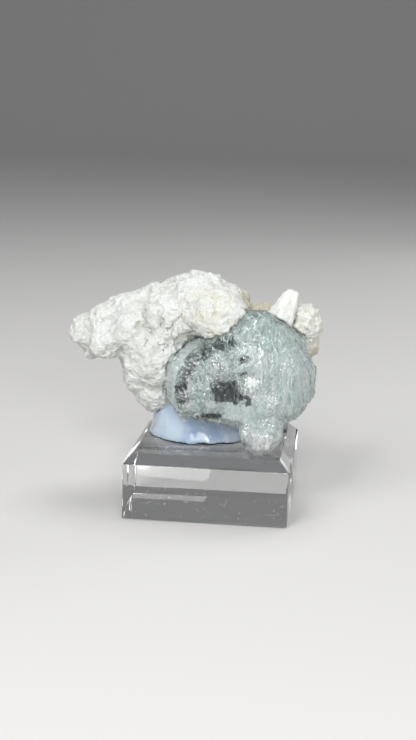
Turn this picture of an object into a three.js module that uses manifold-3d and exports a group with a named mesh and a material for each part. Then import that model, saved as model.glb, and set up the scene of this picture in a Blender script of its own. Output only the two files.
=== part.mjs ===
// A natural aquamarine crystal, with a smaller crystal grown into its underside, on a lumpy white
// albite matrix. A stubby white feldspar crystal stands on the matrix. A bead of clear setting gel
// holds the specimen on a bevelled acrylic display block.
// Millimetres, +Z up. The origin is the centre of the block's underside. +X is to the right and +Y
// to the back of a person who faces the aquamarine.
import * as THREE from "three";
import { ConvexGeometry } from "three/addons/geometries/ConvexGeometry.js";
import { mergeVertices } from "three/addons/utils/BufferGeometryUtils.js";
import Module from "manifold-3d";

const wasm = await Module();
wasm.setup();

// Driving dimensions.
const BLOCK_SIDE = 40; // the square acrylic block
const BLOCK_HEIGHT = 16;
const TOP_BEVEL = 2.4; // polished slope round the block's top face
const CORNER_FLAT = 0.35; // broken edge on the block's upright corners
const SEAT_GAP = 0.3; // clearance left between two pieces that touch
const ROCK_ROUGHNESS = 0.07; // bumps on the albite, as a share of a lump's radius
const ROCK_BUMP_SIZE = 5.5; // width of those bumps

// The albite is a cluster of rounded lumps: where each one is, and its radii along X, Y and Z.
const ALBITE_LUMPS = [
  { at: [-32.7, 1, 41.8], radii: [4.7, 5.5, 4.4] }, // blunt end of the arm
  { at: [-31, 0, 37.8], radii: [3, 4, 3.3] }, // nub under the arm
  { at: [-27.2, 0.5, 42.2], radii: [6.2, 7.4, 7.2] }, // arm
  { at: [-26.6, -5, 40.2], radii: [4.6, 4.4, 4.4] }, // swelling on the arm's front
  { at: [-25.6, 2, 47.2], radii: [3.4, 4, 2.9] }, // nodule on the arm's top
  { at: [-20.3, 1, 43.4], radii: [8, 9.5, 8.9] }, // shoulder
  { at: [-20.2, -6.4, 43.2], radii: [5.4, 4.8, 5.2] }, // swelling on the shoulder's front
  { at: [-17.2, 0, 33.2], radii: [6.5, 8, 8] }, // lower left flank
  { at: [-14.6, -1, 27.6], radii: [5.4, 6.6, 5] }, // foot that stands in the gel
  { at: [-14.5, -4.5, 38], radii: [8.5, 8, 9] }, // face beside the aquamarine
  { at: [-8, 3, 43.8], radii: [12.5, 12.5, 12.2] }, // main mass
  { at: [-11.6, -6.6, 46.6], radii: [6, 5.6, 6.4] }, // swelling on the main mass
  { at: [-15.2, 1, 50.4], radii: [4.6, 5, 3.9] }, // step between shoulder and crown
  { at: [-4.8, 1, 49.9], radii: [8.6, 9, 7.9] }, // crown
  { at: [-5.2, -6.4, 50.2], radii: [5.8, 4.8, 5] }, // swelling on the crown's front
  { at: [1.7, 0.5, 48], radii: [6.6, 8.5, 7] }, // right slope of the crown
  { at: [0.8, -7.6, 47.8], radii: [7.4, 7.8, 6.6] }, // cream bulge over the aquamarine
  { at: [11, 3.5, 45], radii: [6.5, 6, 5] }, // saddle behind the aquamarine
  { at: [5, 7, 41], radii: [13, 8, 8] }, // back, right half
  { at: [-8, 9, 38], radii: [12, 8, 10] }, // back, left half
  { at: [-20, 7, 38], radii: [7, 6, 7] }, // back of the shoulder
  { at: [20.9, 0.5, 45.4], radii: [5.2, 5.8, 5.6] }, // sugary knob at the right
  { at: [21.4, 1.5, 40.6], radii: [4.1, 5, 4] }, // under the knob
  { at: [18.6, 0.4, 46.2], radii: [3.6, 4, 3.8] }, // between the knob and the feldspar crystal
];

// Corners of the aquamarine: an etched, stubby prism whose long axis is nearly upright.
const AQUAMARINE_CORNERS = [
  // bottom edge
  [-10.2, -9.5, 26.8], [-7.2, -13.4, 24.8], [-2, -11, 23.3], [2, -15.4, 23.6], [9, -16, 23.2], [9, -6, 23],
  [17, -14, 24], [17, -6, 24.2], [21.4, -11, 25.4], [21, -5, 26],
  // lower girdle
  [-11.6, -9, 31], [-8.5, -14.5, 30], [-10, -4, 31], [-5, 0, 29], [3, -17.5, 28], [12, -17.6, 28],
  [20, -15.8, 29], [24.4, -10, 30], [23.5, -4, 30.5], [18, 0.5, 31], [6, 2, 30],
  // upper girdle
  [-11.7, -9, 36.5], [-8.5, -14, 37], [-10, -3, 37], [-2, -16.4, 41], [4, -17.6, 37], [13, -17.6, 39],
  [20.5, -15.5, 37], [25.1, -9.5, 36], [24.2, -4, 36.5], [18, 1, 38], [5, 2.5, 40],
  // top edge
  [-6, -8, 41.4], [0, -9, 46], [6.5, -14.5, 46.5], [6, -7, 49.6], [10.5, -11, 50.2], [12.6, -6, 49.6],
  [17, -13, 46], [17.5, -6, 46.9], [21.8, -9, 43.2], [21, -3, 42.5], [12, 0, 46],
];

// Corners of the smaller crystal under it, which points down and forward to the block's front edge.
const OFFSHOOT_CORNERS = [
  [12.3, -15.7, 16.45], [14.2, -15.9, 16.8], [10.4, -15.4, 17.2], [8.4, -15.2, 19.4], [16.9, -15.8, 19.4],
  [11.5, -18.6, 18.6], [14.4, -18.6, 18.8], [8, -16.6, 22.4], [18.2, -16.2, 22.2], [10.6, -19.3, 22.2],
  [15.2, -19.2, 22.4], [9, -12.2, 20.4], [16.2, -12.2, 20.2], [8.4, -14, 27], [17.8, -14, 27],
  [9.6, -11, 27], [16.4, -11, 27],
];

// Corners of the white feldspar crystal that stands between the aquamarine and the knob.
const FELDSPAR_CORNERS = [
  [12.6, -5, 47.4], [15, -7.2, 45.6], [18, -6, 44.6], [18.4, -2, 45.2], [13.6, -1.6, 46.6],
  [13.2, -4.6, 49.6], [15.6, -6, 50.8], [19.2, -4.6, 50], [19.4, -2.2, 50.4], [15, -1.8, 50.6],
  [16.6, -4.6, 53.9], [18, -5, 54.8], [19.7, -4.2, 53.8], [19.8, -2.9, 53.9], [17.6, -2.6, 54.6],
];

// The bead of setting gel: an oval pillar, a little narrower at its middle than at its foot.
const GEL_CENTRE = [-3.4, 1.2];
const GEL_RADII = [13.2, 9];
const GEL_TOP = 27; // it rises round the specimen's underside
const GEL_PROFILE = [[1, 0], [0.99, 0.05], [0.93, 0.25], [0.91, 0.5], [0.94, 0.8], [0.9, 0.95], [0.8, 1]];
const GEL_RIPPLE = 0.035; // uneven edge, as a share of the radius

// Each piece's colour, roughness and, for the clear ones, opacity.
const LOOKS = {
  albite_matrix: { color: 0xe3e5dd, roughness: 0.85 },
  aquamarine_crystal: { color: 0xb4ccca, roughness: 0.12, transparent: true, opacity: 0.6 },
  feldspar_crystal: { color: 0xeceee8, roughness: 0.5 },
  acrylic_block: { color: 0xf2f4f4, roughness: 0.04, transparent: true, opacity: 0.35 },
  setting_gel: { color: 0xb4c2d4, roughness: 0.15, transparent: true, opacity: 0.7 },
};

function solidOf(geometry) {
  const bare = geometry.index ? geometry.toNonIndexed() : geometry.clone();
  bare.deleteAttribute("normal");
  bare.deleteAttribute("uv");
  const merged = mergeVertices(bare, 1e-4);
  return new wasm.Manifold(
    new wasm.Mesh({
      numProp: 3,
      vertProperties: merged.attributes.position.array,
      triVerts: new Uint32Array(merged.index.array),
    }),
  );
}

function geometryOf(solid) {
  const mesh = solid.getMesh();
  const geometry = new THREE.BufferGeometry();
  geometry.setAttribute("position", new THREE.BufferAttribute(mesh.vertProperties, mesh.numProp));
  geometry.setIndex(new THREE.BufferAttribute(mesh.triVerts, 1));
  geometry.computeVertexNormals();
  return geometry;
}

function joined(solids) {
  return solids.reduce((whole, next) => whole.add(next));
}

// Smooth bumps between about -1 and 1, the same every run.
function bumps(point, size) {
  const [x, y, z] = point.map((value) => (value * Math.PI) / size);
  const coarse = Math.sin(x + 1.3 * Math.sin(y)) * Math.cos(z + 1.1 * Math.sin(x));
  const fine = Math.sin(2.1 * y + 0.7) * Math.cos(1.9 * z - 0.4 * x);
  return 0.65 * coarse + 0.35 * fine;
}

// One rounded, bumpy lump of rock. A growth over 0 makes it that much larger all round.
function rockLump({ at, radii }, growth = 0) {
  const detail = Math.max(...radii) > 6.5 ? 5 : 3;
  const geometry = new THREE.IcosahedronGeometry(1, detail);
  const position = geometry.attributes.position;
  for (let i = 0; i < position.count; i++) {
    const direction = [position.getX(i), position.getY(i), position.getZ(i)];
    const smooth = direction.map((part, axis) => at[axis] + part * radii[axis]);
    const swell = 1 + ROCK_ROUGHNESS * bumps(smooth, ROCK_BUMP_SIZE);
    const bumpy = direction.map((part, axis) => at[axis] + part * (radii[axis] * swell + growth));
    position.setXYZ(i, ...bumpy);
  }
  return solidOf(geometry);
}

// A crystal with flat faces between its corners. A growth over 0 moves each corner outwards.
function facetedCrystal(corners, growth = 0) {
  const points = corners.map((corner) => new THREE.Vector3(...corner));
  const centre = new THREE.Box3().setFromPoints(points).getCenter(new THREE.Vector3());
  for (const point of points) {
    const outwards = point.clone().sub(centre).setLength(growth);
    point.add(outwards);
  }
  return solidOf(new ConvexGeometry(points));
}

// The block's plan at one height: a square whose corners are cut off by the corner flat.
function squareRing(side, z) {
  const far = side / 2;
  const near = far - CORNER_FLAT;
  const corners = [[far, near], [near, far]].flatMap(([x, y]) => [[x, y], [-x, y], [-x, -y], [x, -y]]);
  return corners.map(([x, y]) => new THREE.Vector3(x, y, z));
}

function displayBlock() {
  return new ConvexGeometry([
    ...squareRing(BLOCK_SIDE, 0),
    ...squareRing(BLOCK_SIDE, BLOCK_HEIGHT - TOP_BEVEL),
    ...squareRing(BLOCK_SIDE - 2 * TOP_BEVEL, BLOCK_HEIGHT),
  ]);
}

function gelPillar() {
  const foot = BLOCK_HEIGHT + SEAT_GAP;
  const wall = GEL_PROFILE.map(([share, rise]) => new THREE.Vector2(share, foot + rise * (GEL_TOP - foot)));
  const profile = [new THREE.Vector2(0, foot), ...wall, new THREE.Vector2(0, GEL_TOP)];
  const geometry = new THREE.LatheGeometry(profile, 36).rotateX(Math.PI / 2);
  const position = geometry.attributes.position;
  for (let i = 0; i < position.count; i++) {
    const angle = Math.atan2(position.getY(i), position.getX(i));
    const ripple = 1 + GEL_RIPPLE * (Math.sin(3 * angle + 0.6) + 0.5 * Math.sin(7 * angle));
    const x = GEL_CENTRE[0] + position.getX(i) * GEL_RADII[0] * ripple;
    const y = GEL_CENTRE[1] + position.getY(i) * GEL_RADII[1] * ripple;
    position.setXY(i, x, y);
  }
  return solidOf(geometry);
}

function albite(growth = 0) {
  return joined(ALBITE_LUMPS.map((lump) => rockLump(lump, growth)));
}

function aquamarine(growth = 0) {
  return joined([facetedCrystal(AQUAMARINE_CORNERS, growth), facetedCrystal(OFFSHOOT_CORNERS, growth)]);
}

function part(name, geometry) {
  const mesh = new THREE.Mesh(geometry, new THREE.MeshStandardMaterial({ metalness: 0, ...LOOKS[name] }));
  mesh.name = name;
  return mesh;
}

// The aquamarine keeps its whole shape. Each neighbour is cut back by a grown copy of it.
const aquamarineRoom = aquamarine(2 * SEAT_GAP);
const feldspar = facetedCrystal(FELDSPAR_CORNERS).subtract(aquamarineRoom);
const feldsparRoom = facetedCrystal(FELDSPAR_CORNERS, 2 * SEAT_GAP);
const matrix = albite().subtract(aquamarineRoom).subtract(feldsparRoom);
const gel = gelPillar().subtract(albite(SEAT_GAP)).subtract(aquamarineRoom);

const specimen = new THREE.Group();
specimen.add(part("albite_matrix", geometryOf(matrix)));
specimen.add(part("aquamarine_crystal", geometryOf(aquamarine())));
specimen.add(part("feldspar_crystal", geometryOf(feldspar)));

const stand = new THREE.Group();
stand.add(part("acrylic_block", displayBlock()));
stand.add(part("setting_gel", geometryOf(gel)));

const mountedSpecimen = new THREE.Group();
mountedSpecimen.add(stand, specimen);

export default mountedSpecimen;
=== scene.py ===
"""An etched aquamarine on lumpy white albite, held by setting gel on a bevelled acrylic block.

The frame is in metres. Patterns and surface heights are worked out in millimetres.
"""

import math
import random

import bmesh
import bpy
from mathutils import Matrix, Vector
from mathutils.bvhtree import BVHTree


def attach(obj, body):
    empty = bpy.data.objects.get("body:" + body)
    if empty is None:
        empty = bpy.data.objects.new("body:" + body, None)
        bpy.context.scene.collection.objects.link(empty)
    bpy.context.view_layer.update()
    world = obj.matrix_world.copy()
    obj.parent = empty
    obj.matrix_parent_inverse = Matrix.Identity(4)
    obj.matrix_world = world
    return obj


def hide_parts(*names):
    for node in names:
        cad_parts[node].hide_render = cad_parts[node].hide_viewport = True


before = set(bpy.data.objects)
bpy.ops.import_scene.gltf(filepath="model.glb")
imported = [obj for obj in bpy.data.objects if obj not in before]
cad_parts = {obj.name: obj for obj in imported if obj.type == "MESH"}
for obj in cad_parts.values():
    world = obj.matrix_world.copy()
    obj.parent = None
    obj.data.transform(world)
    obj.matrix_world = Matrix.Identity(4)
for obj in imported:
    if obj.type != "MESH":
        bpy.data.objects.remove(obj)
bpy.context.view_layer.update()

MM = 0.001
SEED = 7

# The view: where the camera stands, and how far it is panned, tilted down and rolled.
CAMERA_PLACE = Vector((36.9, -337.8, 111.6)) * MM
CAMERA_PAN = math.radians(6.57)
CAMERA_TILT = math.radians(12.99)
CAMERA_ROLL = math.radians(1.26)
CAMERA_LENS = 68.16
SENSOR_WIDTH = 36


def place_camera():
    camera = bpy.data.objects.new("camera", bpy.data.cameras.new("camera"))
    camera.data.sensor_width = SENSOR_WIDTH
    camera.data.lens = CAMERA_LENS
    camera.data.clip_start = 0.01
    turn = Matrix.Rotation(CAMERA_PAN, 4, "Z") @ Matrix.Rotation(math.pi / 2 - CAMERA_TILT, 4, "X")
    camera.matrix_world = Matrix.Translation(CAMERA_PLACE) @ turn @ Matrix.Rotation(CAMERA_ROLL, 4, "Z")
    bpy.context.collection.objects.link(camera)
    bpy.context.scene.camera = camera


place_camera()


# --- Fields: formulas in node trees, for the surfaces' heights and for the materials ---


class Field:
    """A value that a node tree works out. Arithmetic on it adds nodes to the tree."""

    def __init__(self, graph, socket):
        self.graph = graph
        self.socket = socket

    def __add__(self, other):
        return self.graph.math("ADD", self, other)

    def __sub__(self, other):
        return self.graph.math("SUBTRACT", self, other)

    def __mul__(self, other):
        return self.graph.math("MULTIPLY", self, other)

    def __rsub__(self, other):
        return self.graph.math("SUBTRACT", other, self)

    __radd__ = __add__
    __rmul__ = __mul__


class Graph:
    """Adds nodes to one tree: a material's, or a surface sculpting tree's."""

    def __init__(self, tree):
        self.tree = tree

    def node(self, kind, inputs=None, **settings):
        node = self.tree.nodes.new(kind)
        for name, value in settings.items():
            setattr(node, name, value)
        for key, value in (inputs or {}).items():
            self.feed(node.inputs[key], value)
        return node

    def feed(self, socket, value):
        if isinstance(value, Field):
            self.tree.links.new(value.socket, socket)
        else:
            socket.default_value = value

    def math(self, operation, *values):
        node = self.node("ShaderNodeMath", dict(enumerate(values)), operation=operation)
        return Field(self, node.outputs[0])

    def vector(self, operation, *values):
        node = self.node("ShaderNodeVectorMath", dict(enumerate(values)), operation=operation)
        answer = "Value" if operation in ("DISTANCE", "LENGTH", "DOT_PRODUCT") else "Vector"
        return Field(self, node.outputs[answer])

    def place(self):
        """The point on the surface, in millimetres."""
        if self.tree.type == "SHADER":
            metres = Field(self, self.node("ShaderNodeTexCoord").outputs["Object"])
        else:
            metres = Field(self, self.node("GeometryNodeInputPosition").outputs[0])
        return self.vector("MULTIPLY", metres, (1 / MM, 1 / MM, 1 / MM))

    def axis(self, point, name):
        return Field(self, self.node("ShaderNodeSeparateXYZ", {0: point}).outputs[name])

    def turned(self, point, angles, stretch=(1, 1, 1)):
        """The point in axes that are turned by these degrees, each then scaled."""
        radians = [math.radians(angle) for angle in angles]
        node = self.node(
            "ShaderNodeVectorRotate", {"Vector": point, "Rotation": radians}, rotation_type="EULER_XYZ"
        )
        return self.vector("MULTIPLY", Field(self, node.outputs[0]), stretch)

    def noise(self, point, size, detail=2.0, roughness=0.5, warp=0.0):
        """Soft noise from 0 to 1 whose features are about that many millimetres wide."""
        inputs = {"Vector": point, "Scale": 1 / size, "Detail": detail, "Roughness": roughness}
        node = self.node("ShaderNodeTexNoise", {**inputs, "Distortion": warp})
        return Field(self, node.outputs[0])

    def warped(self, point, size, amount):
        """The point pushed about by up to half that amount each way."""
        inputs = {"Vector": point, "Scale": 1 / size, "Detail": 2.0}
        node = self.node("ShaderNodeTexNoise", inputs)
        push = self.vector("SUBTRACT", Field(self, node.outputs["Color"]), (0.5, 0.5, 0.5))
        return self.vector("ADD", point, self.vector("MULTIPLY", push, (amount,) * 3))

    def cells(self, point, size, feature="F1", output="Distance", **inputs):
        """Distance to the nearest cell's centre or edge, in cells of that many millimetres."""
        inputs = {"Vector": point, "Scale": 1 / size, **inputs}
        return Field(self, self.node("ShaderNodeTexVoronoi", inputs, feature=feature).outputs[output])

    def planes(self, point, size):
        """Height, from about -1 to 1, of flat facets that each tilt their own way and meet in steps."""
        node = self.node("ShaderNodeTexVoronoi", {"Vector": point, "Scale": 1 / size})
        across = self.vector("SUBTRACT", point, Field(self, node.outputs["Position"]))
        tilt = self.vector("SUBTRACT", Field(self, node.outputs["Color"]), (0.5, 0.5, 0.5))
        return self.vector("DOT_PRODUCT", across, tilt) * (4 / size)

    def ramp(self, value, low, high, start=0.0, end=1.0):
        """Goes smoothly from start to end as the value goes from low to high."""
        if low > high:
            low, high, start, end = high, low, end, start
        inputs = {"Value": value, "From Min": low, "From Max": high, "To Min": start, "To Max": end}
        node = self.node("ShaderNodeMapRange", inputs, interpolation_type="SMOOTHSTEP")
        return Field(self, node.outputs[0])

    def near(self, point, centre, radius, edge=0.35):
        """1 within that many millimetres of a place, and 0 past it, with a soft edge."""
        distance = self.vector("DISTANCE", point, centre)
        return self.ramp(distance, radius * (1 - edge), radius * (1 + edge), 1.0, 0.0)

    def seen_distance(self, point, centre):
        """How far the point is from an (x, z) place, at any depth."""
        flat = self.vector("MULTIPLY", point, (1, 0, 1))
        return self.vector("DISTANCE", flat, (centre[0], 0, centre[1]))

    def inside_box(self, point, centre, size, turn=0, edge=0.2):
        """1 inside an (x, z) box of that width and height, turned by degrees, at any depth."""
        offset = self.vector("SUBTRACT", point, (centre[0], 0, centre[1]))
        turned = self.turned(offset, (0, turn, 0))
        share = 1.0
        for name, side in zip(("X", "Z"), size):
            away = self.math("ABSOLUTE", self.axis(turned, name))
            share = self.ramp(away, side / 2 - edge, side / 2 + edge, 1.0, 0.0) * share
        return share

    def attribute(self, name):
        return Field(self, self.node("ShaderNodeAttribute", attribute_name=name).outputs["Fac"])

    def mix(self, share, first, second):
        """A colour between two, each a colour or a field."""
        node = self.node("ShaderNodeMix", data_type="RGBA")
        self.feed(node.inputs[0], share)
        for socket, value in zip(node.inputs[6:8], (first, second)):
            self.feed(socket, value if isinstance(value, Field) else (*value, 1))
        return Field(self, node.outputs[2])


# --- Shaping ---


def choose(piece):
    bpy.ops.object.select_all(action="DESELECT")
    piece.select_set(True)
    bpy.context.view_layer.objects.active = piece


def copy_of_node(node, name):
    """A closed copy of a CAD node that can be reshaped."""
    choose(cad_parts[node])
    bpy.ops.object.duplicate()
    piece = bpy.context.object
    piece.name = name
    piece.data.materials.clear()
    world = piece.matrix_world.copy()
    piece.parent = None
    piece.data.transform(world)
    piece.matrix_world = Matrix.Identity(4)
    bpy.ops.object.mode_set(mode="EDIT")
    bpy.ops.mesh.select_all(action="SELECT")
    bpy.ops.mesh.remove_doubles(threshold=0.001 * MM)
    bpy.ops.mesh.normals_make_consistent(inside=False)
    bpy.ops.object.mode_set(mode="OBJECT")
    return piece


def finish_with(piece, kind, **settings):
    """Adds a modifier with these settings and applies it."""
    choose(piece)
    modifier = piece.modifiers.new(kind.lower(), kind)
    for name, value in settings.items():
        setattr(modifier, name, value)
    bpy.ops.object.modifier_apply(modifier=modifier.name)


def remesh(piece, voxel):
    finish_with(piece, "REMESH", mode="VOXEL", voxel_size=voxel * MM, use_smooth_shade=True)


def soften(piece, rounds, factor=0.5):
    finish_with(piece, "SMOOTH", factor=factor, iterations=rounds)


def sculpt(piece, *heights, keep=None):
    """Moves the surface along its normals by each height in turn, in millimetres.

    keep is the one height whose amount is also stored, as the attribute 'height'.
    """
    tree = bpy.data.node_groups.new(f"{piece.name} surface", "GeometryNodeTree")
    tree.interface.new_socket("Geometry", in_out="INPUT", socket_type="NodeSocketGeometry")
    tree.interface.new_socket("Geometry", in_out="OUTPUT", socket_type="NodeSocketGeometry")
    graph = Graph(tree)
    surface = Field(graph, graph.node("NodeGroupInput").outputs[0])
    for height in heights:
        amount = height(graph, graph.place())
        if height is keep:
            stored = {"Geometry": surface, "Name": "height", "Value": amount}
            store = graph.node("GeometryNodeStoreNamedAttribute", stored, data_type="FLOAT", domain="POINT")
            surface = Field(graph, store.outputs[0])
        normal = Field(graph, graph.node("GeometryNodeInputNormal").outputs[0])
        step = graph.node("ShaderNodeVectorMath", {0: normal, "Scale": amount * MM}, operation="SCALE")
        shift = {"Geometry": surface, "Offset": Field(graph, step.outputs[0])}
        surface = Field(graph, graph.node("GeometryNodeSetPosition", shift).outputs[0])
    graph.feed(graph.node("NodeGroupOutput").inputs[0], surface)
    finish_with(piece, "NODES", node_group=tree)


CONTACT_REACH = 1.5  # how far from a surface its inside and outside are told apart, in millimetres


def mark_contact(piece, other):
    """Stores how deep each point of the piece lies inside another piece, in millimetres, as 'depth'."""
    tree = BVHTree.FromObject(other, bpy.context.evaluated_depsgraph_get())
    depths = []
    for vertex in piece.data.vertices:
        nearest, normal, _, distance = tree.find_nearest(vertex.co)
        inwards = (nearest - vertex.co).dot(normal)
        depths.append((inwards if distance < CONTACT_REACH * MM else -distance) / MM)
    piece.data.attributes.new("depth", "FLOAT", "POINT").data.foreach_set("value", depths)


def stand_for(piece, node):
    """The finished piece takes the place of a CAD node."""
    choose(piece)
    bpy.ops.object.shade_smooth()
    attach(piece, "root")
    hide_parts(node)


def wear(piece, material):
    piece.data.materials.clear()
    piece.data.materials.append(material)


def new_material(name):
    """A material, its graph and its Principled shader."""
    material = bpy.data.materials.new(name)
    material.use_nodes = True
    graph = Graph(material.node_tree)
    return material, graph, material.node_tree.nodes["Principled BSDF"]


def add_bump(graph, shader, height, depth):
    """Bump from a height field, of that depth in millimetres."""
    inputs = {"Height": height, "Strength": 1.0, "Distance": depth * MM}
    node = graph.node("ShaderNodeBump", inputs)
    graph.feed(shader.inputs["Normal"], Field(graph, node.outputs[0]))


def set_plain(shader, **values):
    """Sets the shader's own sockets. Underscores in the names stand for spaces."""
    for name, value in values.items():
        shader.inputs[name.replace("_", " ")].default_value = value


# --- Where things are on the specimen ---

WHORL = (-6, -12, 33)
# Windows through the milky crystal: the (x, z) centre, the width and height, and the turn in degrees
# of the main one, three shards of its ragged right tail, one at the bottom edge, and small ones above.
WINDOWS = [
    ((4.2, 32.1), (6.2, 5.2), 9),
    ((6.9, 30.6), (3.4, 2.6), 34),
    ((8.9, 30.6), (3.0, 0.9), -14),
    ((9.6, 29.2), (2.2, 1.0), 24),
    ((1.1, 25.8), (5.4, 1.5), 6),
    ((8.7, 40.1), (3.4, 1.0), 16),
    ((8.4, 36.6), (1.8, 0.8), 20),
]
# An arc of clear patches runs from the lower left to the top, round the (x, z) centre.
ARC_CENTRE = (6, 31)
ARC_RADII = (11.2, 13.9)
CRISP_CORNER = (2, 34)  # the main window's upper left corner, whose edges are straight and clean
RIGHT_RIM_CENTRE = (8, 31)
TERRACE_PITCH = 0.85  # between the terraces' steps, in millimetres
BUBBLES = (14.4, 30.2)
MILKY_SPOT = (10.6, 34.6)
LOBE = (7.6, 25.6)
RUST = (15.9, 36.6)


# --- Albite matrix ---

BULGE = (0.8, -10, 48)  # the cream bulge over the aquamarine
SADDLE = (10.5, -1, 50)  # tan hollow between the crown and the feldspar crystal
KNOB = (21, 0, 45)
KNOB_UNDERSIDE = (24, -1, 38.6)
PITTED_FACE = (-10, -11, 42)  # cracks and pits left of the bulge
POCKET_PAINTED_LIGHT_COLOUR = (0.90, 0.93, 0.92)  # lighter albite behind the aquamarine: painted light, making up for the light that the crystal keeps from it
ROCK_VOXELS = (0.55, 0.3)  # for its lumps and then for its nodules, in millimetres


def albite_lumps(graph, place):
    """Broad swells, then knobbly lumps a few millimetres across."""
    bent = graph.warped(place, 6, 3.0)
    swell = graph.noise(place, 9, detail=2) * 2.0 - 0.8
    lumps = graph.cells(bent, 3.6, feature="SMOOTH_F1", Smoothness=0.3)
    return swell + (0.42 - lumps) * 1.1


def albite_nodules(graph, place):
    """Small rounded nodules, with crevices where they meet."""
    bent = graph.warped(place, 2.5, 2.6)
    nodules = graph.cells(bent, 2.0, feature="SMOOTH_F1", Smoothness=0.06)
    patchy = graph.ramp(graph.noise(place, 5), 0.35, 0.65, 0.4, 1.1)
    grains = graph.cells(graph.warped(place, 1.2, 0.8), 0.95, feature="SMOOTH_F1", Smoothness=0.1)
    rough = graph.noise(place, 0.9, detail=3, roughness=0.7)
    return (0.42 - nodules) * patchy * 0.95 + (0.42 - grains) * 0.4 + (rough - 0.5) * 0.8


def face_cracks(graph, place):
    """1 along the broken cracks in the face left of the bulge."""
    cracks = graph.cells(graph.warped(place, 3, 2.6), 5.5, feature="DISTANCE_TO_EDGE")
    broken = graph.ramp(graph.noise(place, 2.2, detail=2), 0.5, 0.55)
    return graph.ramp(cracks, 0.0, 0.035, 1.0, 0.0) * broken * graph.near(place, PITTED_FACE, 9, edge=0.4)


def face_pits(graph, place):
    """1 in the scattered pits of the same face."""
    pits = graph.ramp(graph.cells(graph.warped(place, 1, 0.8), 1.7), 0.1, 0.2, 1.0, 0.0)
    scattered = graph.ramp(graph.noise(place, 2.4, detail=1), 0.5, 0.56)
    return pits * scattered * graph.near(place, PITTED_FACE, 10, edge=0.4)


def albite_wear(graph, place):
    """Cracks and pits in the face left of the bulge, and sugar grains on the knob."""
    sugar = graph.near(place, KNOB, 8, edge=0.3)
    grains = graph.cells(place, 1.15) - 0.4
    dents = graph.math("MAXIMUM", face_cracks(graph, place), face_pits(graph, place))
    return dents * -0.45 - grains * sugar * 0.7


def albite_material():
    material, graph, shader = new_material("albite")
    place = graph.place()
    tint = graph.noise(place, 7, detail=3)
    colour = graph.mix(graph.ramp(tint, 0.35, 0.7), (0.76, 0.78, 0.74), (0.84, 0.86, 0.84))
    blotch = graph.ramp(graph.noise(graph.warped(place, 3, 2), 3.4, detail=4), 0.42, 0.62)
    cream = graph.near(place, BULGE, 8, edge=0.5) * blotch
    colour = graph.mix(cream * 0.85, colour, (0.80, 0.785, 0.66))
    tan = graph.near(place, SADDLE, 6, edge=0.4) + graph.near(place, KNOB_UNDERSIDE, 3.4, edge=0.5)
    colour = graph.mix(tan * 0.8, colour, (0.52, 0.47, 0.35))
    knob = graph.near(place, KNOB, 8, edge=0.3)
    colour = graph.mix(knob * 0.5, colour, (0.82, 0.80, 0.71))
    # Painted shade: the albite is darkened in the crevices between its nodules, where shade falls.
    painted_crevice_shade = graph.ramp(graph.attribute("height"), -0.05, -0.5)
    colour = graph.mix(painted_crevice_shade * 0.5, colour, (0.50, 0.49, 0.43))
    # Painted shade: the pits and cracks of the face left of the bulge are painted nearly black, where shade
    # falls in them.
    dark = graph.math("MAXIMUM", face_pits(graph, place), face_cracks(graph, place))
    colour = graph.mix(dark * 0.75, colour, (0.12, 0.11, 0.10))
    # Painted light: the albite against and inside the aquamarine is lightened, to make up for the light
    # that the crystal keeps from it.
    painted_pocket_light = graph.ramp(graph.attribute("depth"), -0.15, 0.25)
    colour = graph.mix(painted_pocket_light, colour, POCKET_PAINTED_LIGHT_COLOUR)
    graph.feed(shader.inputs["Base Color"], colour)
    dull = graph.ramp(graph.noise(place, 0.6, detail=2), 0.3, 0.7, 0.5, 0.85)
    graph.feed(shader.inputs["Roughness"], dull)
    set_plain(shader, Subsurface_Weight=0.08, Subsurface_Scale=0.5 * MM, Subsurface_Radius=(1.0, 0.9, 0.75))
    set_plain(shader, Specular_IOR_Level=0.35)
    grain = graph.noise(place, 0.45, detail=4, roughness=0.7) + graph.cells(place, 0.7) * 0.6
    add_bump(graph, shader, grain, 0.42)
    return material


def make_albite(crystal):
    rock = copy_of_node("albite_matrix", "albite_rock")
    remesh(rock, ROCK_VOXELS[0])
    soften(rock, 5)
    sculpt(rock, albite_lumps)
    remesh(rock, ROCK_VOXELS[1])
    sculpt(rock, albite_nodules, albite_wear, keep=albite_nodules)
    mark_contact(rock, crystal)
    wear(rock, albite_material())
    stand_for(rock, "albite_matrix")


# --- Feldspar crystal ---


def feldspar_steps(graph, place):
    """Ridges along the crystal's length, and a crumbly skin."""
    along = graph.turned(place, (0, -22, 0), (1, 1, 0.15))
    ridges = graph.noise(along, 0.9, detail=2)
    crumbs = graph.noise(place, 1.1, detail=3)
    return (ridges - 0.5) * 0.6 + (crumbs - 0.5) * 0.5 + 0.3


def feldspar_material():
    material, graph, shader = new_material("feldspar")
    place = graph.place()
    along = graph.turned(place, (0, -22, 0), (1, 1, 0.12))
    streaks = graph.noise(along, 0.7, detail=3)
    colour = graph.mix(graph.ramp(streaks, 0.35, 0.65), (0.70, 0.71, 0.66), (0.86, 0.87, 0.84))
    foot = graph.ramp(graph.axis(place, "Z"), 49, 46)
    colour = graph.mix(foot * 0.3, colour, (0.70, 0.66, 0.55))
    graph.feed(shader.inputs["Base Color"], colour)
    graph.feed(shader.inputs["Roughness"], graph.ramp(streaks, 0.3, 0.7, 0.55, 0.3))
    set_plain(shader, Subsurface_Weight=0.5, Subsurface_Scale=2 * MM, Subsurface_Radius=(1.0, 0.95, 0.85))
    add_bump(graph, shader, streaks, 0.12)
    return material


def make_feldspar():
    crystal = copy_of_node("feldspar_crystal", "feldspar_point")
    remesh(crystal, 0.2)
    soften(crystal, 2)
    sculpt(crystal, feldspar_steps)
    wear(crystal, feldspar_material())
    stand_for(crystal, "feldspar_crystal")


# --- Aquamarine ---

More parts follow.
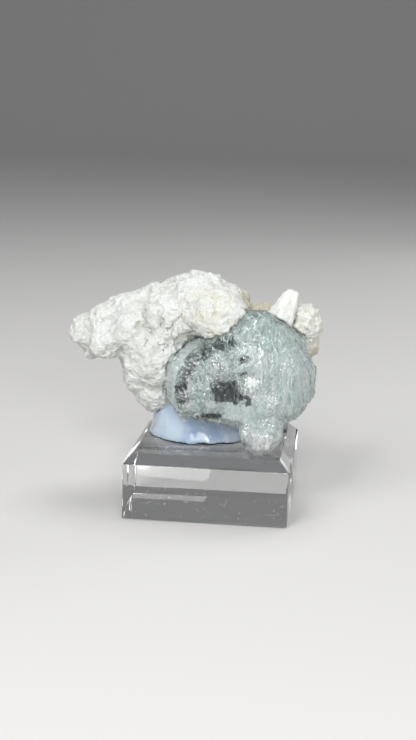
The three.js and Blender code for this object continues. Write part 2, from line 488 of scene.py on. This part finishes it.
CRYSTAL_VOXELS = (0.45, 0.205)  # for its facets and then for its etching, in millimetres
BERYL_IOR = 1.577
# The etched skin scatters the rest of the light.
SKIN_TRANSMISSION = 0.82
ABSORPTION_COLOUR = (0.55, 0.88, 0.85, 1)
ABSORPTION_DENSITY = 16.0


def aquamarine_facets(graph, place):
    """Broad facets that tilt a little each way, as etching leaves them."""
    bent = graph.warped(place, 9, 2)
    return graph.planes(bent, 6.5) * 0.16 + (graph.noise(place, 9, detail=1) - 0.5) * 0.9 + 0.3


def right_half(graph, place):
    """1 on the right and along the top, where the prism's upright striations are."""
    top = graph.ramp(graph.axis(place, "Z"), 41, 45)
    return graph.math("MAXIMUM", graph.ramp(graph.axis(place, "X"), 7, 11), top)


def small_crystal(graph, place):
    """1 on the smaller crystal that points down from the underside."""
    return graph.ramp(graph.axis(graph.warped(place, 5, 4), "Z"), 24.2, 21.8)


def right_rim(graph, place):
    """Distance from the crystal's middle, and 1 where that is far enough out for the rim's terraces."""
    edge = graph.seen_distance(graph.warped(place, 6, 1.6), RIGHT_RIM_CENTRE)
    tall = graph.ramp(graph.axis(place, "Z"), 44, 40)
    return edge, graph.ramp(edge, 13.4, 13.9) * graph.ramp(graph.axis(place, "X"), 16, 18) * tall


def aquamarine_striations(graph, place):
    """Upright striations on the right and the top, terraces round the right rim, whorls at the left."""
    columns = graph.vector("MULTIPLY", graph.warped(place, 6, 0.9), (1, 0.4, 0.045))
    smooth = graph.ramp(graph.noise(place, 5, detail=1), 0.4, 0.6, 0.35, 1.0)
    upright = (graph.noise(columns, 0.8, detail=2) - 0.5) * 1.1 * smooth + graph.planes(columns, 1.6) * 0.15
    edge, rim = right_rim(graph, place)
    terrace = graph.math("FRACT", edge * (1 / TERRACE_PITCH)) - 0.5
    whorl = graph.math("SINE", graph.vector("DISTANCE", graph.warped(place, 4, 3.4), WHORL) * 4.4)
    left = graph.ramp(graph.axis(place, "X"), 3, -2)
    small = small_crystal(graph, place)
    upright = upright * right_half(graph, place) * (1.0 - rim * 0.7) * (1.0 - small * 0.85)
    return upright + terrace * rim * 0.5 + whorl * left * 0.16


def aquamarine_etch(graph, place):
    """Small flat chips, most at the left and fewest over the main window, and pits like bubbles."""
    chips = graph.planes(graph.warped(place, 2, 0.9), 1.8)
    crumbs = graph.planes(graph.warped(place, 1, 0.4), 0.8)
    left = graph.ramp(graph.axis(place, "X"), 11, 6, 0.35, 1.0)
    rough = graph.ramp(graph.noise(place, 4), 0.35, 0.65, 0.5, 1.0) * left
    calm = 1.0 - graph.inside_box(place, *WINDOWS[0], edge=0.8) * 0.6
    lobe = 1.0 - graph.ramp(graph.seen_distance(place, LOBE), 5.0, 3.0) * 0.7
    bubbly = graph.ramp(graph.seen_distance(place, BUBBLES), 4.2, 3.0)
    pits = graph.ramp(graph.cells(place, 0.95), 0.05, 0.45, -0.22, 0.05)
    small = small_crystal(graph, place)
    faces = graph.planes(graph.vector("MULTIPLY", place, (1, 1, 0.6)), 3.2) * small
    chipped = (chips * 0.34 + crumbs * 0.08) * rough * calm * lobe * (1.0 - small * 0.9)
    return chipped + pits * bubbly + faces * 0.34


def aquamarine_material():
    """Clear glassy crystal whose etched skin also scatters some light, but for the clear windows, where its
    colour is painted shade with painted streaks of light.
    """
    material, graph, shader = new_material("aquamarine")
    place = graph.place()
    frost = graph.ramp(graph.noise(place, 3.2, detail=3), 0.5, 0.75, 0.0, 0.06)
    graph.feed(shader.inputs["Roughness"], frost)
    pale = graph.ramp(upright_streaks(graph, place, 0.7), 0.42, 0.58)
    for part, paleness in ((small_crystal, 1.0), (left_rim, 0.85)):
        pale = graph.math("MAXIMUM", pale, part(graph, place) * paleness)
    tint = graph.mix(pale, (0.77, 0.93, 0.90), (0.98, 1.0, 1.0))
    top = graph.ramp(graph.axis(place, "Z"), 40, 45)
    tint = graph.mix(top * 0.6, tint, (0.62, 0.76, 0.72))
    # Painted shade: over the clear windows the skin's colour is made nearly black, which darkens the light
    # it lets through, save for painted streaks of light.
    clear = window_share(graph, place) * (1.0 - window_glow(graph, place) * 0.5)
    graph.feed(shader.inputs["Base Color"], graph.mix(clear * 0.92, tint, (0.05, 0.07, 0.07)))
    set_plain(shader, Transmission_Weight=SKIN_TRANSMISSION, IOR=BERYL_IOR)
    fine = graph.noise(graph.vector("MULTIPLY", place, (1, 1, 0.2)), 0.5, detail=3)
    add_bump(graph, shader, fine, 0.035)
    absorption = {"Color": ABSORPTION_COLOUR, "Density": ABSORPTION_DENSITY}
    depth_tint = graph.node("ShaderNodeVolumeAbsorption", absorption)
    output = material.node_tree.nodes["Material Output"]
    graph.tree.links.new(depth_tint.outputs[0], output.inputs["Volume"])
    return material


def make_aquamarine():
    crystal = copy_of_node("aquamarine_crystal", "aquamarine")
    remesh(crystal, CRYSTAL_VOXELS[0])
    soften(crystal, 2)
    sculpt(crystal, aquamarine_facets)
    remesh(crystal, CRYSTAL_VOXELS[1])
    soften(crystal, 1)
    sculpt(crystal, aquamarine_striations, aquamarine_etch)
    wear(crystal, aquamarine_material())
    return crystal


# --- What is sealed in the aquamarine ---

HAZE_DEPTH = 0.6  # of the healed fractures under the skin, in millimetres
CORE_DEPTH = 2.4  # of the milky core under the skin, in millimetres


def window_share(graph, place):
    """1 where the crystal is clear right through, at any depth, and 0 where it is milky."""
    bent = graph.warped(graph.warped(place, 4, 2.0), 1.1, 0.8)
    ring = graph.seen_distance(bent, ARC_CENTRE)
    inner, outer = ARC_RADII
    arc = graph.ramp(ring, inner - 0.8, inner + 0.8) * graph.ramp(ring, outer + 0.8, outer - 0.8)
    share = arc * upper_left(graph, place) * graph.ramp(graph.noise(bent, 2.4, detail=2), 0.42, 0.52)
    for window in WINDOWS:
        share = graph.math("MAXIMUM", share, graph.inside_box(bent, *window, edge=0.7))
    crisp = graph.ramp(graph.seen_distance(place, CRISP_CORNER), 2.5, 4.5, 0.25, 1.0)
    tall = graph.vector("MULTIPLY", place, (1, 1, 0.6))
    ragged = (graph.noise(tall, 0.9, detail=3) - 0.5) * crisp * 2.0
    return graph.ramp(share + ragged, 0.46, 0.54)


def window_glow(graph, place):
    """1 along the upright streaks of light in the windows."""
    leaning = graph.turned(graph.warped(place, 3, 1.2), (0, 12, 0), (1, 1, 0.16))
    return graph.ramp(graph.noise(leaning, 0.9, detail=3, roughness=0.6), 0.51, 0.6)


def left_rim(graph, place):
    """1 outside the arc at the left, where the crystal is cloudy."""
    ring = graph.seen_distance(graph.warped(place, 4, 1.4), ARC_CENTRE)
    outside = graph.ramp(ring, ARC_RADII[1] - 0.1, ARC_RADII[1] + 0.4)
    return outside * graph.ramp(graph.axis(place, "X"), 4, 2)


def upper_left(graph, place):
    """1 at the upper left, where the arc of clear patches is."""
    return graph.ramp(graph.axis(place, "X"), 8, 5) * graph.ramp(graph.axis(place, "Z"), 26.5, 28.5)


def shards(graph, place, size):
    """A value from 0 to 1 for each of the small flat pieces that the crystal's inside is broken into."""
    inputs = {"Vector": graph.warped(place, size, size * 0.6), "Scale": 1 / size}
    node = graph.node("ShaderNodeTexVoronoi", inputs)
    return graph.axis(Field(graph, node.outputs["Color"]), "X")


def upright_streaks(graph, place, size):
    """Noise from 0 to 1 that is drawn out along the crystal's length."""
    tall = graph.vector("MULTIPLY", graph.warped(place, 6, 0.9), (1, 0.4, 0.045))
    return graph.noise(tall, size, detail=4, roughness=0.7)


def core_share(graph, place):
    """How much of the light the core stops: broken facets at the left, an even milk at the right."""
    pieces = shards(graph, place, 2.4) * 0.5 + shards(graph, place, 0.9) * 0.5
    broken = graph.ramp(pieces, 0.3, 0.7, 0.25, 0.95)
    milky = graph.ramp(upright_streaks(graph, place, 0.9), 0.4, 0.6, 0.5, 1.0)
    right = right_half(graph, place)
    small = small_crystal(graph, place)
    share = broken * (1.0 - right) + milky * right
    lobe = graph.ramp(graph.seen_distance(place, LOBE), 5.0, 3.6) * 0.98
    facets = graph.ramp(shards(graph, place, 1.6), 0.3, 0.7, 0.75, 0.98)
    share = graph.math("MAXIMUM", share, lobe) * (1.0 - small) + facets * small
    clear = window_share(graph, place)
    # Painted shade: at the clear windows the core is nearly opaque, a dark sheet where there is only shade.
    return graph.math("MAXIMUM", share * (1.0 - clear), clear * 0.97)


def core_colour(graph, place):
    """Pale aqua, with painted shade at the clear windows and painted upright streaks of light in them."""
    streaks = graph.ramp(upright_streaks(graph, place, 0.6), 0.4, 0.6)
    milky = graph.mix(streaks, (0.84, 0.94, 0.92), (0.97, 0.99, 0.98))
    # Painted shade at the windows, lightened along painted streaks of light.
    dark = graph.mix(window_glow(graph, place) * 0.8, (0.006, 0.010, 0.010), (0.50, 0.58, 0.57))
    return graph.mix(window_share(graph, place), milky, dark)


def contour_lines(graph, distance, pitch, width):
    """Thin lines, that many millimetres wide and one pitch apart, where a distance goes up in steps."""
    across = graph.math("ABSOLUTE", graph.math("FRACT", distance * (1 / pitch)) - 0.5)
    return graph.ramp(across, width / pitch * 0.3, width / pitch * 0.7, 1.0, 0.0)


def haze_share(graph, place):
    """Fine healed fractures close under the skin, as bright threads and contour lines."""
    bent = graph.warped(place, 2.2, 1.6)
    broken = graph.ramp(graph.noise(place, 1.5, detail=2), 0.45, 0.55)
    grain = graph.ramp(graph.noise(place, 0.45, detail=2), 0.38, 0.52)
    x_of = graph.axis(place, "X")
    threads = graph.ramp(graph.cells(bent, 1.5, feature="DISTANCE_TO_EDGE"), 0.02, 0.08, 1.0, 0.0) * broken
    streaks = graph.ramp(upright_streaks(graph, place, 0.5), 0.5, 0.56) * right_half(graph, place) * 0.85
    whorl = graph.vector("DISTANCE", graph.warped(place, 3, 2.6), WHORL)
    whorls = contour_lines(graph, whorl, 1.3, 0.35) * graph.ramp(x_of, 3, 0) * broken
    edge, rim = right_rim(graph, place)
    terraces = contour_lines(graph, edge, TERRACE_PITCH, 0.4) * rim * 0.7
    cloudy_rim = left_rim(graph, place) * graph.ramp(graph.noise(bent, 1.4, detail=3), 0.35, 0.6, 0.7, 1.0)
    bubble = graph.cells(place, 0.95)
    bubbles = graph.ramp(bubble, 0.22, 0.3) * graph.ramp(bubble, 0.5, 0.4)
    bubbly = graph.ramp(graph.seen_distance(bent, BUBBLES), 4.4, 3.2)
    spot = graph.ramp(graph.seen_distance(bent, MILKY_SPOT), 2.2, 1.6) * grain
    window = graph.inside_box(place, *WINDOWS[0], edge=0.8)
    edges = graph.cells(graph.warped(place, 2, 0.8), 2.4, feature="DISTANCE_TO_EDGE")
    share = graph.ramp(edges, 0.02, 0.06, 1.0, 0.15) * small_crystal(graph, place)
    threads = threads * (0.9 - window * 0.6)
    streaks = streaks * (1.0 - rim * 0.8) * (1.0 - bubbly)
    for veil in (threads, streaks, whorls * 0.9, terraces, cloudy_rim, bubbles * bubbly, spot):
        share = graph.math("MAXIMUM", share, veil)
    return share


def haze_colour(graph, place):
    """White, and pale aqua at the cloudy left rim."""
    return graph.mix(left_rim(graph, place), (0.97, 0.99, 0.99), (0.88, 0.98, 0.96))


def veil_material(name, colour, share, roughness):
    """A see-through skin. The share of light it stops is a field, and its colour is plain or a field."""
    material, graph, shader = new_material(name)
    place = graph.place()
    graph.feed(shader.inputs["Alpha"], share(graph, place))
    if callable(colour):
        graph.feed(shader.inputs["Base Color"], colour(graph, place))
    else:
        set_plain(shader, Base_Color=(*colour, 1))
    set_plain(shader, Roughness=roughness, IOR=1.4)
    return material


def sealed(piece, material):
    """A piece inside the aquamarine, which goes with it."""
    wear(piece, material)
    choose(piece)
    bpy.ops.object.shade_smooth()
    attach(piece, "root")


def shrunken_copy(crystal, name, depth, voxel):
    """A closed skin that many millimetres inside the crystal."""
    choose(crystal)
    bpy.ops.object.duplicate()
    skin = bpy.context.object
    skin.name = name
    remesh(skin, voxel)
    finish_with(skin, "DISPLACE", strength=-depth * MM, mid_level=0.0)
    remesh(skin, voxel)
    soften(skin, 2)
    return skin


def make_haze(crystal):
    haze = shrunken_copy(crystal, "healed_fractures", HAZE_DEPTH, 0.4)
    sealed(haze, veil_material("healed fractures", haze_colour, haze_share, 0.5))


def make_core(crystal):
    """The milky body of the crystal, with the windows in it as dark sheets of painted shade."""
    core = shrunken_copy(crystal, "milky_core", CORE_DEPTH, 0.5)
    sculpt(core, lambda graph, place: graph.planes(graph.warped(place, 3, 1), 3.0) * 0.3)
    sealed(core, veil_material("milky core", core_colour, core_share, 0.6))


def patchy(graph, place):
    """How much of the light a deep fracture stops."""
    return graph.ramp(graph.noise(place, 1.6, detail=4, roughness=0.7), 0.42, 0.6, 0.0, 0.75)


# Flat fractures deep in the crystal: centre, radius, and turns about X and Z in degrees.
FRACTURES = [
    ((-6, -8, 33), 5, 75, 20),
    ((1, -10, 37), 5, 60, -15),
    ((9, -8, 42), 5, 80, 10),
    ((10, -11, 33), 4.5, 70, -30),
    ((17, -9, 33), 6, 85, 25),
    ((18, -7, 40), 4.5, 65, 40),
    ((3, -8, 27), 5, 40, 0),
    ((13, -14.5, 21), 3, 60, 20),
]


def make_fractures():
    random.seed(SEED)
    sheets = []
    for centre, radius, tilt, turn in FRACTURES:
        bpy.ops.object.select_all(action="DESELECT")
        bpy.ops.mesh.primitive_grid_add(x_subdivisions=36, y_subdivisions=36, size=2 * radius * MM)
        sheet = bpy.context.object
        mesh = bmesh.new()
        mesh.from_mesh(sheet.data)
        lobes = random.uniform(0, 6)
        for vertex in list(mesh.verts):
            angle = math.atan2(vertex.co.y, vertex.co.x)
            ragged = 0.16 * math.sin(3 * angle + lobes) + 0.09 * math.sin(7 * angle + 2 * lobes)
            if vertex.co.length > radius * (0.75 + ragged) * MM:
                mesh.verts.remove(vertex)
        mesh.to_mesh(sheet.data)
        mesh.free()
        pose = Matrix.Rotation(math.radians(turn), 4, "Z") @ Matrix.Rotation(math.radians(tilt), 4, "X")
        sheet.data.transform(Matrix.Translation(Vector(centre) * MM) @ pose)
        sheets.append(sheet)
    bpy.ops.object.select_all(action="DESELECT")
    for sheet in sheets:
        sheet.select_set(True)
    bpy.context.view_layer.objects.active = sheets[0]
    bpy.ops.object.join()
    fractures = bpy.context.object
    fractures.name = "deep_fractures"
    sculpt(fractures, lambda graph, place: (graph.noise(place, 4, detail=3) - 0.5) * 3.0)
    finish_with(fractures, "SOLIDIFY", thickness=0.06 * MM)
    sealed(fractures, veil_material("deep fractures", (0.86, 0.92, 0.92), patchy, 0.2))


# --- Bright flakes, painted glints and rust on the aquamarine's skin ---

# Clusters of flakes and of painted glints: (x, z) centre and half size, number, and each flake's width and
# height.
FLAKE_AND_GLINT_CLUSTERS = [
    (MILKY_SPOT, (1.6, 1.4), 130, 0.55, 0.5),
    (BUBBLES, (2.8, 2.0), 190, 0.28, 0.28),
    # Painted glints from here on: upright dashes on the striations at the right and the top, flat ones at
    # the left and along the left rim, and thin ones along the small crystal's edges.
    ((15, 36), (6, 6), 90, 0.13, 0.9),
    ((11, 44), (5, 2.5), 16, 0.12, 0.8),
    ((-2, 35), (7, 6), 80, 0.55, 0.16),
    ((-6, 29), (4, 3), 40, 0.55, 0.16),
    ((13, 20), (3.5, 2.5), 36, 0.11, 1.3),
]
RUST_CLUSTERS = [(RUST, (0.8, 0.8), 8, 0.25, 0.4)]
# The darkest and the lightest colour of each.
FLAKE_AND_GLINT_COLOURS = ((0.80, 0.86, 0.85), (0.97, 0.98, 0.98))
RUST_COLOURS = ((0.14, 0.06, 0.03), (0.32, 0.17, 0.09))


def copies_of(pattern, poses, name):
    """One piece made of a copy of the pattern at each pose. The pattern itself is taken away."""
    copies = []
    for pose in poses:
        choose(pattern)
        bpy.ops.object.duplicate()
        copy = bpy.context.object
        copy.data.transform(pose)
        copies.append(copy)
    choose(pattern)
    bpy.ops.object.delete()
    for copy in copies:
        copy.select_set(True)
    bpy.context.view_layer.objects.active = copies[0]
    bpy.ops.object.join()
    joined = bpy.context.object
    joined.name = name
    return joined


def add_flake():
    """A flat flake, one millimetre across."""
    bpy.ops.object.select_all(action="DESELECT")
    bpy.ops.mesh.primitive_ico_sphere_add(subdivisions=1, radius=0.5 * MM)
    flake = bpy.context.object
    flake.data.transform(Matrix.Diagonal((1, 0.12, 1, 1)))
    return flake


def make_flakes_and_painted_glints(crystal, clusters, name, material):
    random.seed(SEED)
    tree = BVHTree.FromObject(crystal, bpy.context.evaluated_depsgraph_get())
    poses = []
    for centre, spread, count, width, height in clusters:
        for _ in range(count):
            x = centre[0] + random.gauss(0, 0.5) * spread[0]
            z = centre[1] + random.gauss(0, 0.5) * spread[1]
            hit, slope, _, _ = tree.ray_cast(Vector((x, -60, z)) * MM, Vector((0, 1, 0)))
            if hit is None:
                continue
            lie = slope.to_track_quat("Y", "Z").to_matrix().to_4x4()
            grow = random.uniform(0.5, 1.3)
            size = Matrix.Diagonal((width * grow, 0.5, height * grow, 1))
            sway = Matrix.Rotation(random.gauss(0, 0.15), 4, "Y")
            poses.append(Matrix.Translation(hit) @ lie @ sway @ size)
    sealed(copies_of(add_flake(), poses, name), material)


def flake_material(name, dark, light):
    material, graph, shader = new_material(name)
    shade = graph.ramp(graph.noise(graph.place(), 1.3), 0.4, 0.6)
    graph.feed(shader.inputs["Base Color"], graph.mix(shade, dark, light))
    set_plain(shader, Roughness=0.25)
    return material


# --- Setting gel ---


def gel_folds(graph, place):
    """The gel swells out to meet what it holds, in soft folds."""
    folds = graph.noise(graph.vector("MULTIPLY", place, (1, 1, 0.7)), 5, detail=1)
    return (folds - 0.5) * 1.6 + 0.45


def gel_material():
    """Milky blue gel with a cream streak, small white dots of painted highlight, and a painted shade line
    along its foot.
    """
    material, graph, shader = new_material("setting gel")
    place = graph.place()
    cloud = graph.noise(graph.vector("MULTIPLY", place, (1, 1, 0.8)), 6, detail=2, warp=0.4)
    colour = graph.mix(graph.ramp(cloud, 0.35, 0.65), (0.45, 0.58, 0.78), (0.67, 0.79, 0.93))
    slant = graph.turned(graph.warped(place, 4, 2.5), (0, -38, 0), (1, 0.3, 0.25))
    streak = graph.ramp(graph.noise(slant, 2.6, detail=2), 0.54, 0.68)
    colour = graph.mix(streak * 0.55, colour, (0.80, 0.79, 0.74))
    # Painted highlights: small white dots, like lamps caught on trapped air.
    bubbles = graph.ramp(graph.cells(place, 1.7), 0.12, 0.2, 1.0, 0.0)
    colour = graph.mix(bubbles * 0.8, colour, (0.93, 0.95, 0.97))
    # Painted shade: a dark wavy band along the gel's foot, in the gap where it meets the block.
    foot = graph.axis(place, "Z") + graph.noise(place, 2.2, detail=2) * 1.2
    colour = graph.mix(graph.ramp(foot, 17.3, 16.9), colour, (0.03, 0.04, 0.06))
    graph.feed(shader.inputs["Base Color"], colour)
    set_plain(shader, Roughness=0.06, IOR=1.45, Transmission_Weight=0.2, Coat_Weight=0.4)
    set_plain(shader, Subsurface_Weight=0.6, Subsurface_Scale=3 * MM, Subsurface_Radius=(0.7, 0.85, 1.0))
    return material


def make_gel():
    gel = copy_of_node("setting_gel", "setting_gel_bead")
    remesh(gel, 0.4)
    soften(gel, 4)
    sculpt(gel, gel_folds)
    wear(gel, gel_material())
    stand_for(gel, "setting_gel")


# --- Acrylic block ---

ACRYLIC_IOR = 1.491
EDGE_ROUND = 0.14  # polished rounding of the block's edges, in millimetres


def acrylic_material():
    material, graph, shader = new_material("acrylic")
    place = graph.place()
    smear = graph.noise(place, 7, detail=4, roughness=0.6)
    graph.feed(shader.inputs["Roughness"], graph.ramp(smear, 0.45, 0.75, 0.0, 0.07))
    set_plain(shader, Base_Color=(0.98, 0.99, 0.99, 1), Transmission_Weight=1.0, IOR=ACRYLIC_IOR)
    return material


def make_block():
    block = copy_of_node("acrylic_block", "display_block")
    sharp = math.radians(20)
    finish_with(
        block, "BEVEL", width=EDGE_ROUND * MM, segments=2, limit_method="ANGLE", angle_limit=sharp
    )
    wear(block, acrylic_material())
    stand_for(block, "acrylic_block")
    bpy.ops.object.shade_smooth_by_angle(angle=sharp)


# --- Dust and scratches on the block ---

BLOCK_TOP = 16
BLOCK_FRONT = -20
DUSTY_TOP = ((-16, 9), (-17, -9))  # where dust lies on the top face, in X and Y
DUSTY_FRONT = ((-19, 19), (1, 13))  # and on the front face, in X and Z
FLECKS = 150
SCRATCHES = 26


def dust_material():
    material, graph, shader = new_material("dust")
    shade = graph.ramp(graph.noise(graph.place(), 4), 0.4, 0.6)
    graph.feed(shader.inputs["Base Color"], graph.mix(shade, (0.52, 0.50, 0.45), (0.85, 0.86, 0.84)))
    set_plain(shader, Roughness=0.8)
    return material


def make_dust():
    """Flecks and fine scratches on the block's top face and front face."""
    random.seed(SEED)
    poses = []
    for number in range(FLECKS + SCRATCHES):
        width, length = random.uniform(0.1, 0.26), random.uniform(0.12, 0.34)
        if number >= FLECKS:
            width, length = 0.06, random.uniform(0.8, 3.0)
        turn = Matrix.Rotation(random.uniform(0, math.pi), 4, "Y")
        turn = turn @ Matrix.Diagonal((width, 0.4, length, 1))
        if random.random() < 0.5:
            across, along = DUSTY_TOP
            place = Vector((random.uniform(*across), random.uniform(*along), BLOCK_TOP))
            lie = Matrix.Rotation(math.pi / 2, 4, "X")
        else:
            across, upright = DUSTY_FRONT
            place = Vector((random.uniform(*across), BLOCK_FRONT, random.uniform(*upright)))
            lie = Matrix.Identity(4)
        poses.append(Matrix.Translation(place * MM) @ lie @ turn)
    dust = copies_of(add_flake(), poses, "block_dust")
    wear(dust, dust_material())
    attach(dust, "root")


# --- Stage ---

FLOOR_COLOUR = (0.70, 0.69, 0.68)
# The floor's side, the height of its wall and the curve between them, in metres.
FLOOR_SIZE = 4
WALL_HEIGHT = 2
FLOOR_CURVE = 0.9
FLOOR_DROP = 0.2  # the air under the block, in millimetres
WORLD_COLOUR = (0.20, 0.205, 0.21)
# Soft lights: name, place, width and height in metres, and power in watts. The low one is for the
# block's right bevel.
SOFTBOXES = [
    ("key", (-0.24, -0.46, 0.46), 0.34, 0.34, 1.9),
    ("front", (0.10, -0.62, 0.28), 0.28, 0.28, 1.2),
    ("top", (0.06, 0.12, 0.60), 0.30, 0.30, 1.2),
    ("side", (0.52, -0.16, 0.24), 0.22, 0.34, 0.35),
    ("back", (0.40, 0.34, 0.26), 0.26, 0.30, 0.5),
    ("low", (0.155, 0.455, 0.058), 0.09, 0.08, 0.024),
]
# Small lamps for glints on the crystal: places and size in metres, and power in watts.
SPARKS = [(-0.10, -0.40, 0.42), (0.06, -0.46, 0.36), (0.16, -0.50, 0.22)]
SPARK_SIZE = 0.055
SPARK_POWER = 0.3


def make_floor():
    """A pale floor that curves up into a wall far behind."""
    bpy.ops.object.select_all(action="DESELECT")
    bpy.ops.mesh.primitive_plane_add(size=FLOOR_SIZE, location=(0, 0, -FLOOR_DROP * MM))
    floor = bpy.context.object
    floor.name = "studio_floor"
    bpy.ops.object.mode_set(mode="EDIT")
    mesh = bmesh.from_edit_mesh(floor.data)
    back = FLOOR_SIZE / 2 - 0.1
    bpy.ops.mesh.select_all(action="DESELECT")
    bpy.ops.mesh.select_mode(type="EDGE")
    for edge in mesh.edges:
        edge.select = all(vertex.co.y > back for vertex in edge.verts)
    bpy.ops.mesh.extrude_region_move(TRANSFORM_OT_translate={"value": (0, 0, WALL_HEIGHT)})
    bpy.ops.mesh.select_all(action="DESELECT")
    for edge in mesh.edges:
        edge.select = all(vertex.co.y > back and vertex.co.z < 0.1 for vertex in edge.verts)
    bpy.ops.mesh.bevel(offset=FLOOR_CURVE, segments=16)
    bpy.ops.object.mode_set(mode="OBJECT")
    bpy.ops.object.shade_smooth()
    material, _, shader = new_material("floor")
    set_plain(shader, Base_Color=(*FLOOR_COLOUR, 1), Roughness=0.9, Specular_IOR_Level=0.2)
    wear(floor, material)


def add_softbox(name, place, width, height, power):
    """A soft light of that width and height, at a place in metres, facing the specimen."""
    light = bpy.data.lights.new(name, "AREA")
    light.shape = "RECTANGLE"
    light.size = width
    light.size_y = height
    light.energy = power
    lamp = bpy.data.objects.new(name, light)
    away = Vector(place) - Vector((0, 0, 35 * MM))
    lamp.matrix_world = Matrix.Translation(place) @ away.to_track_quat("Z", "Y").to_matrix().to_4x4()
    bpy.context.collection.objects.link(lamp)


def light_studio():
    world = bpy.data.worlds.new("studio")
    world.use_nodes = True
    world.node_tree.nodes["Background"].inputs[0].default_value = (*WORLD_COLOUR, 1)
    bpy.context.scene.world = world
    for softbox in SOFTBOXES:
        add_softbox(*softbox)
    for number, place in enumerate(SPARKS):
        add_softbox(f"spark_{number}", place, SPARK_SIZE, SPARK_SIZE, SPARK_POWER)
    bpy.context.scene.view_settings.view_transform = "Standard"


aquamarine = make_aquamarine()
make_haze(aquamarine)
make_core(aquamarine)
stand_for(aquamarine, "aquamarine_crystal")
make_fractures()
make_flakes_and_painted_glints(aquamarine, FLAKE_AND_GLINT_CLUSTERS, "bright_flakes_and_painted_glints", flake_material("flakes_and_painted_glints", *FLAKE_AND_GLINT_COLOURS))
make_flakes_and_painted_glints(aquamarine, RUST_CLUSTERS, "rust_flecks", flake_material("rust", *RUST_COLOURS))
make_albite(aquamarine)
make_feldspar()
make_gel()
make_block()
make_dust()
make_floor()
light_studio()
